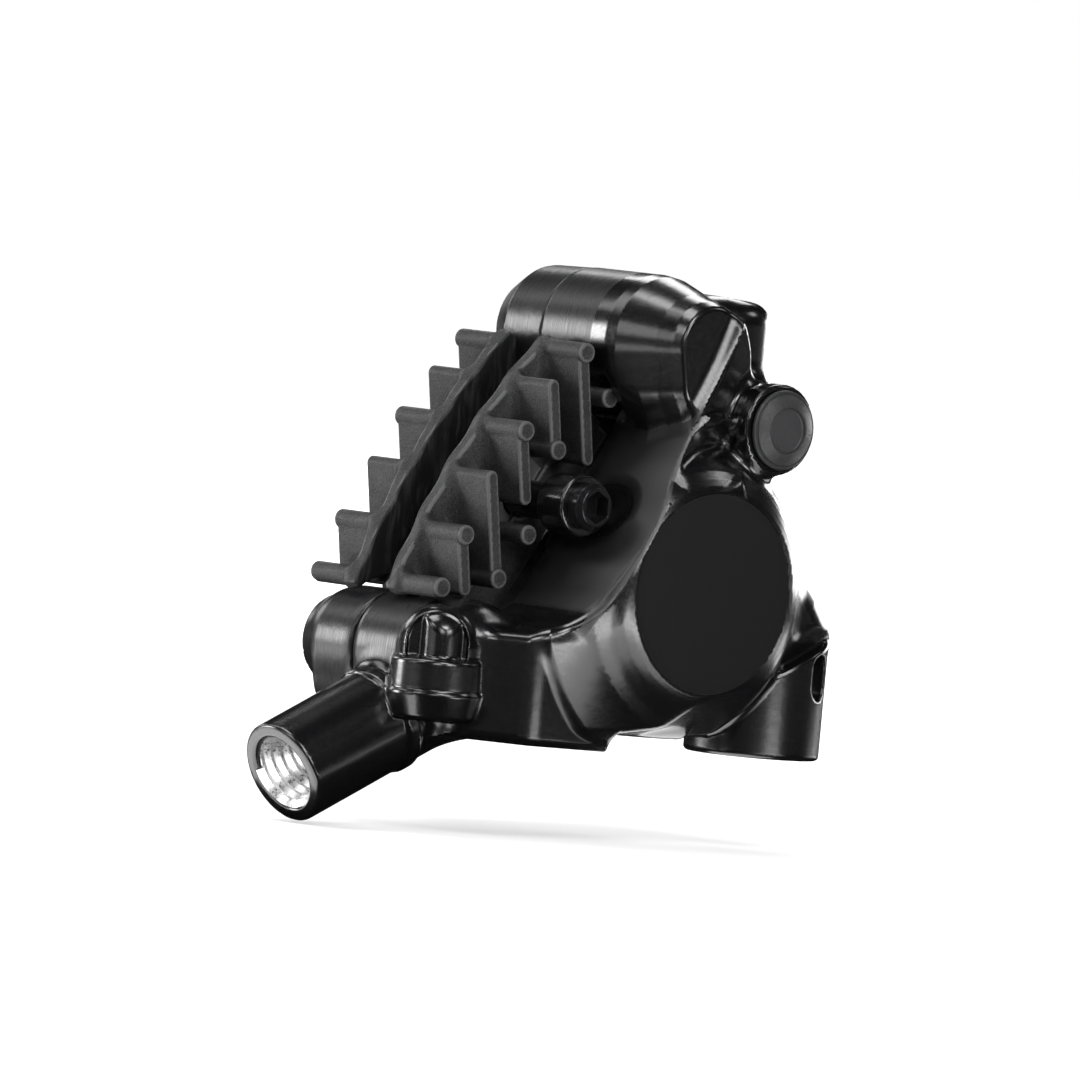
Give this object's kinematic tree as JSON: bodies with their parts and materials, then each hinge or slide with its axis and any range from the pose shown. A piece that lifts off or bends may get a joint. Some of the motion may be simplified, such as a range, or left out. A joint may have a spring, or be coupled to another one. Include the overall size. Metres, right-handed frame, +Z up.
{
  "type": "bicycle disc brake caliper",
  "caption": "Two-piece flat-mount hydraulic disc brake caliper with opposed pistons, finned pads, pad axle, bleed fittings and a threaded hose port.",
  "frame": {"origin": "on the mounting face, midway between the two frame screws", "axes": "+X to the rear of the bicycle, +Y towards the wheel, +Z up from the mounting face"},
  "size_m": [0.0699, 0.039, 0.0598],
  "materials": {
    "black_casting": "cast aluminium with gloss black paint, machined bands in satin black",
    "inner_casting": "cast aluminium with gloss black paint and satin black machined bosses",
    "cooling_plate": "dark grey blasted aluminium, grainy matte",
    "backing_steel": "matte steel",
    "friction_block": "friction compound with fine metal flecks",
    "piston_ceramic": "ivory ceramic, smooth",
    "seal_rubber": "black rubber",
    "cap_rubber": "matte black rubber with concentric rings",
    "spring_steel": "bright spring steel",
    "black_steel": "gloss black plated steel",
    "nipple_steel": "bright turned steel"
  },
  "bodies": {
    "caliper": {"outer_body": "black_casting", "inner_body": "inner_casting", "outer_piston_seal": "seal_rubber", "inner_piston_seal": "seal_rubber", "pad_spring": "spring_steel", "pad_axle": "black_steel", "axle_clip": "spring_steel", "rear_clamp_screw": "black_steel", "front_clamp_screw": "black_steel", "passage_seal": "seal_rubber", "bleed_nipple": "nipple_steel", "passage_plug": "nipple_steel"},
    "outer_piston": {"outer_piston": "piston_ceramic"},
    "inner_piston": {"inner_piston": "piston_ceramic"},
    "outer_pad": {"outer_pad_plate": "backing_steel", "outer_lining": "friction_block", "outer_pad_fins": "cooling_plate"},
    "inner_pad": {"inner_pad_plate": "backing_steel", "inner_lining": "friction_block", "inner_pad_fins": "cooling_plate"},
    "bleed_cap": {"bleed_cap": "cap_rubber"},
    "bleed_screw": {"bleed_screw": "black_steel", "bleed_screw_seal": "seal_rubber"}
  },
  "joints": [
    {"name": "outer_piston_slide", "type": "slide", "parent": "caliper", "child": "outer_piston", "axis": [0, 1, 0], "range_m": [0, 0.0012], "deforming": ["pad_spring"]},
    {"name": "inner_piston_slide", "type": "slide", "parent": "caliper", "child": "inner_piston", "axis": [0, -1, 0], "range_m": [0, 0.0012]},
    {"name": "outer_pad_slide", "type": "slide", "parent": "caliper", "child": "outer_pad", "axis": [0, 1, 0], "range_m": [0, 0.0012], "deforming": ["pad_spring"]},
    {"name": "inner_pad_slide", "type": "slide", "parent": "caliper", "child": "inner_pad", "axis": [0, -1, 0], "range_m": [0, 0.0012], "deforming": ["pad_spring"]},
    {"name": "bleed_cap_pull", "type": "slide", "parent": "caliper", "child": "bleed_cap", "axis": [0, -1, 0], "range_m": [0, 0.012]},
    {"name": "bleed_screw_turn", "type": "hinge", "parent": "caliper", "child": "bleed_screw", "pos_m": [0.0074, 0.001, 0.044], "axis": [0, 0, 1], "range_deg": [0, 90]}
  ],
  "couplings": [
    {"joint": "inner_piston_slide", "follows": "outer_piston_slide", "ratio": 1},
    {"joint": "outer_pad_slide", "follows": "outer_piston_slide", "ratio": 1},
    {"joint": "inner_pad_slide", "follows": "outer_piston_slide", "ratio": 1}
  ]
}
